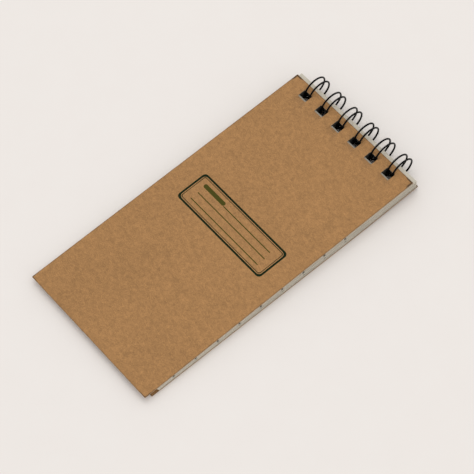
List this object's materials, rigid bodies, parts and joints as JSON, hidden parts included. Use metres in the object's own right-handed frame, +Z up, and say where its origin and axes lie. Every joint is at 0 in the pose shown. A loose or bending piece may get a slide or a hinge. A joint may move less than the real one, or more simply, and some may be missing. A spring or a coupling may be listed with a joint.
{
  "type": "pocket notebook",
  "caption": "Pocket notebook with kraft board covers and loose leaves that turn on a black twin-loop wire along its short edge.",
  "frame": {"origin": "middle of the closed notebook's footprint, on the table it lies on", "axes": "+X along the bound edge, +Y from the free end towards the wire, +Z up from the back cover to the front cover"},
  "size_m": [0.089, 0.1898, 0.015],
  "materials": {
    "kraft_board": "uncoated brown kraft board, matte",
    "leaf_paper": "uncoated warm grey recycled paper, matte",
    "coated_wire": "black nylon-coated steel wire, satin"
  },
  "bodies": {
    "base": {"wire_binding": "coated_wire", "back_cover": "kraft_board"},
    "leaf_01": {"leaf_01": "leaf_paper"},
    "leaf_02": {"leaf_02": "leaf_paper"},
    "leaf_03": {"leaf_03": "leaf_paper"},
    "leaf_04": {"leaf_04": "leaf_paper"},
    "leaf_05": {"leaf_05": "leaf_paper"},
    "leaf_06": {"leaf_06": "leaf_paper"},
    "leaf_07": {"leaf_07": "leaf_paper"},
    "leaf_08": {"leaf_08": "leaf_paper"},
    "leaf_09": {"leaf_09": "leaf_paper"},
    "leaf_10": {"leaf_10": "leaf_paper"},
    "leaf_11": {"leaf_11": "leaf_paper"},
    "leaf_12": {"leaf_12": "leaf_paper"},
    "leaf_13": {"leaf_13": "leaf_paper"},
    "leaf_14": {"leaf_14": "leaf_paper"},
    "leaf_15": {"leaf_15": "leaf_paper"},
    "leaf_16": {"leaf_16": "leaf_paper"},
    "leaf_17": {"leaf_17": "leaf_paper"},
    "leaf_18": {"leaf_18": "leaf_paper"},
    "leaf_19": {"leaf_19": "leaf_paper"},
    "leaf_20": {"leaf_20": "leaf_paper"},
    "leaf_21": {"leaf_21": "leaf_paper"},
    "leaf_22": {"leaf_22": "leaf_paper"},
    "leaf_23": {"leaf_23": "leaf_paper"},
    "leaf_24": {"leaf_24": "leaf_paper"},
    "leaf_25": {"leaf_25": "leaf_paper"},
    "leaf_26": {"leaf_26": "leaf_paper"},
    "leaf_27": {"leaf_27": "leaf_paper"},
    "leaf_28": {"leaf_28": "leaf_paper"},
    "front_cover": {"front_cover": "kraft_board"}
  },
  "joints": [
    {"name": "leaf_28_turn", "type": "hinge", "parent": "base", "child": "leaf_28", "pos_m": [0, 0.0874, 0.0075], "axis": [-1, 0, 0], "range_deg": [0, 6.4]},
    {"name": "leaf_27_turn", "type": "hinge", "parent": "leaf_28", "child": "leaf_27", "pos_m": [0, 0.0874, 0.0075], "axis": [-1, 0, 0], "range_deg": [0, 6.4]},
    {"name": "leaf_26_turn", "type": "hinge", "parent": "leaf_27", "child": "leaf_26", "pos_m": [0, 0.0874, 0.0075], "axis": [-1, 0, 0], "range_deg": [0, 6.4]},
    {"name": "leaf_25_turn", "type": "hinge", "parent": "leaf_26", "child": "leaf_25", "pos_m": [0, 0.0874, 0.0075], "axis": [-1, 0, 0], "range_deg": [0, 6.4]},
    {"name": "leaf_24_turn", "type": "hinge", "parent": "leaf_25", "child": "leaf_24", "pos_m": [0, 0.0874, 0.0075], "axis": [-1, 0, 0], "range_deg": [0, 6.4]},
    {"name": "leaf_23_turn", "type": "hinge", "parent": "leaf_24", "child": "leaf_23", "pos_m": [0, 0.0874, 0.0075], "axis": [-1, 0, 0], "range_deg": [0, 6.4]},
    {"name": "leaf_22_turn", "type": "hinge", "parent": "leaf_23", "child": "leaf_22", "pos_m": [0, 0.0874, 0.0075], "axis": [-1, 0, 0], "range_deg": [0, 6.4]},
    {"name": "leaf_21_turn", "type": "hinge", "parent": "leaf_22", "child": "leaf_21", "pos_m": [0, 0.0874, 0.0075], "axis": [-1, 0, 0], "range_deg": [0, 6.4]},
    {"name": "leaf_20_turn", "type": "hinge", "parent": "leaf_21", "child": "leaf_20", "pos_m": [0, 0.0874, 0.0075], "axis": [-1, 0, 0], "range_deg": [0, 6.4]},
    {"name": "leaf_19_turn", "type": "hinge", "parent": "leaf_20", "child": "leaf_19", "pos_m": [0, 0.0874, 0.0075], "axis": [-1, 0, 0], "range_deg": [0, 6.4]},
    {"name": "leaf_18_turn", "type": "hinge", "parent": "leaf_19", "child": "leaf_18", "pos_m": [0, 0.0874, 0.0075], "axis": [-1, 0, 0], "range_deg": [0, 6.4]},
    {"name": "leaf_17_turn", "type": "hinge", "parent": "leaf_18", "child": "leaf_17", "pos_m": [0, 0.0874, 0.0075], "axis": [-1, 0, 0], "range_deg": [0, 6.4]},
    {"name": "leaf_16_turn", "type": "hinge", "parent": "leaf_17", "child": "leaf_16", "pos_m": [0, 0.0874, 0.0075], "axis": [-1, 0, 0], "range_deg": [0, 6.4]},
    {"name": "leaf_15_turn", "type": "hinge", "parent": "leaf_16", "child": "leaf_15", "pos_m": [0, 0.0874, 0.0075], "axis": [-1, 0, 0], "range_deg": [0, 6.4]},
    {"name": "leaf_14_turn", "type": "hinge", "parent": "leaf_15", "child": "leaf_14", "pos_m": [0, 0.0874, 0.0075], "axis": [-1, 0, 0], "range_deg": [0, 6.4]},
    {"name": "leaf_13_turn", "type": "hinge", "parent": "leaf_14", "child": "leaf_13", "pos_m": [0, 0.0874, 0.0075], "axis": [-1, 0, 0], "range_deg": [0, 6.4]},
    {"name": "leaf_12_turn", "type": "hinge", "parent": "leaf_13", "child": "leaf_12", "pos_m": [0, 0.0874, 0.0075], "axis": [-1, 0, 0], "range_deg": [0, 6.4]},
    {"name": "leaf_11_turn", "type": "hinge", "parent": "leaf_12", "child": "leaf_11", "pos_m": [0, 0.0874, 0.0075], "axis": [-1, 0, 0], "range_deg": [0, 6.4]},
    {"name": "leaf_10_turn", "type": "hinge", "parent": "leaf_11", "child": "leaf_10", "pos_m": [0, 0.0874, 0.0075], "axis": [-1, 0, 0], "range_deg": [0, 6.4]},
    {"name": "leaf_09_turn", "type": "hinge", "parent": "leaf_10", "child": "leaf_09", "pos_m": [0, 0.0874, 0.0075], "axis": [-1, 0, 0], "range_deg": [0, 6.4]},
    {"name": "leaf_08_turn", "type": "hinge", "parent": "leaf_09", "child": "leaf_08", "pos_m": [0, 0.0874, 0.0075], "axis": [-1, 0, 0], "range_deg": [0, 6.4]},
    {"name": "leaf_07_turn", "type": "hinge", "parent": "leaf_08", "child": "leaf_07", "pos_m": [0, 0.0874, 0.0075], "axis": [-1, 0, 0], "range_deg": [0, 6.4]},
    {"name": "leaf_06_turn", "type": "hinge", "parent": "leaf_07", "child": "leaf_06", "pos_m": [0, 0.0874, 0.0075], "axis": [-1, 0, 0], "range_deg": [0, 6.4]},
    {"name": "leaf_05_turn", "type": "hinge", "parent": "leaf_06", "child": "leaf_05", "pos_m": [0, 0.0874, 0.0075], "axis": [-1, 0, 0], "range_deg": [0, 6.4]},
    {"name": "leaf_04_turn", "type": "hinge", "parent": "leaf_05", "child": "leaf_04", "pos_m": [0, 0.0874, 0.0075], "axis": [-1, 0, 0], "range_deg": [0, 6.4]},
    {"name": "leaf_03_turn", "type": "hinge", "parent": "leaf_04", "child": "leaf_03", "pos_m": [0, 0.0874, 0.0075], "axis": [-1, 0, 0], "range_deg": [0, 6.4]},
    {"name": "leaf_02_turn", "type": "hinge", "parent": "leaf_03", "child": "leaf_02", "pos_m": [0, 0.0874, 0.0075], "axis": [-1, 0, 0], "range_deg": [0, 6.4]},
    {"name": "leaf_01_turn", "type": "hinge", "parent": "leaf_02", "child": "leaf_01", "pos_m": [0, 0.0874, 0.0075], "axis": [-1, 0, 0], "range_deg": [0, 6.4]},
    {"name": "front_cover_turn", "type": "hinge", "parent": "leaf_01", "child": "front_cover", "pos_m": [0, 0.0874, 0.0075], "axis": [1, 0, 0], "range_deg": [-183.3, 0]}
  ]
}
